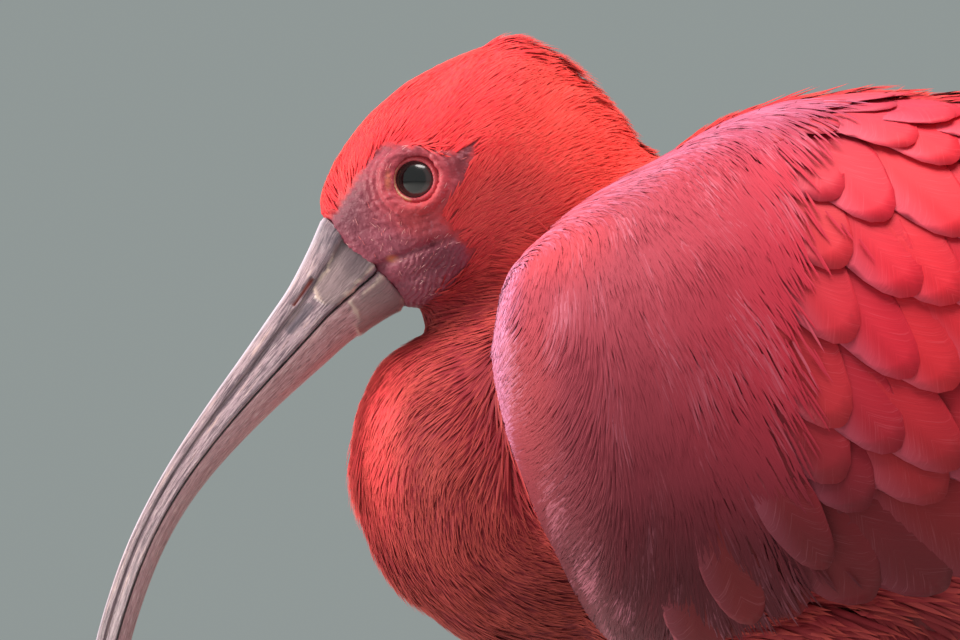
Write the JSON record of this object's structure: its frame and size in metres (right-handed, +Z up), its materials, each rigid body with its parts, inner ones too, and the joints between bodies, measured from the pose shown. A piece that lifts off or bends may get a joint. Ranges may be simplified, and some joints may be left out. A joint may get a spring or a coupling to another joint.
{
  "type": "scarlet ibis",
  "caption": "Life-size standing scarlet ibis with folded wings, drawn-in neck, long down-curved bill and bare legs.",
  "frame": {"origin": "on the floor, under the middle of the bird's bounding box", "axes": "-X is the way the bird looks, -Y is its left side, +Z is up"},
  "size_m": [0.3478, 0.1106, 0.2992],
  "materials": {
    "plumage": "short soft scarlet feathers",
    "flight_feathers": "smooth rose-scarlet feather vanes",
    "bill": "pinkish brown horn with a low shine",
    "eye": "wet dark brown",
    "leg_skin": "scaled rose skin"
  },
  "bodies": {
    "root": {"head": "plumage", "eye_left": "eye", "eye_right": "eye", "bill_upper": "bill", "bill_lower": "bill", "neck": "plumage", "torso": "plumage", "wing_left": "flight_feathers", "wing_right": "flight_feathers", "tail": "flight_feathers", "thigh_left": "plumage", "thigh_right": "plumage", "shank_left": "leg_skin", "shank_right": "leg_skin", "tarsus_left": "leg_skin", "tarsus_right": "leg_skin", "foot_left": "leg_skin", "foot_right": "leg_skin"}
  },
  "joints": []
}
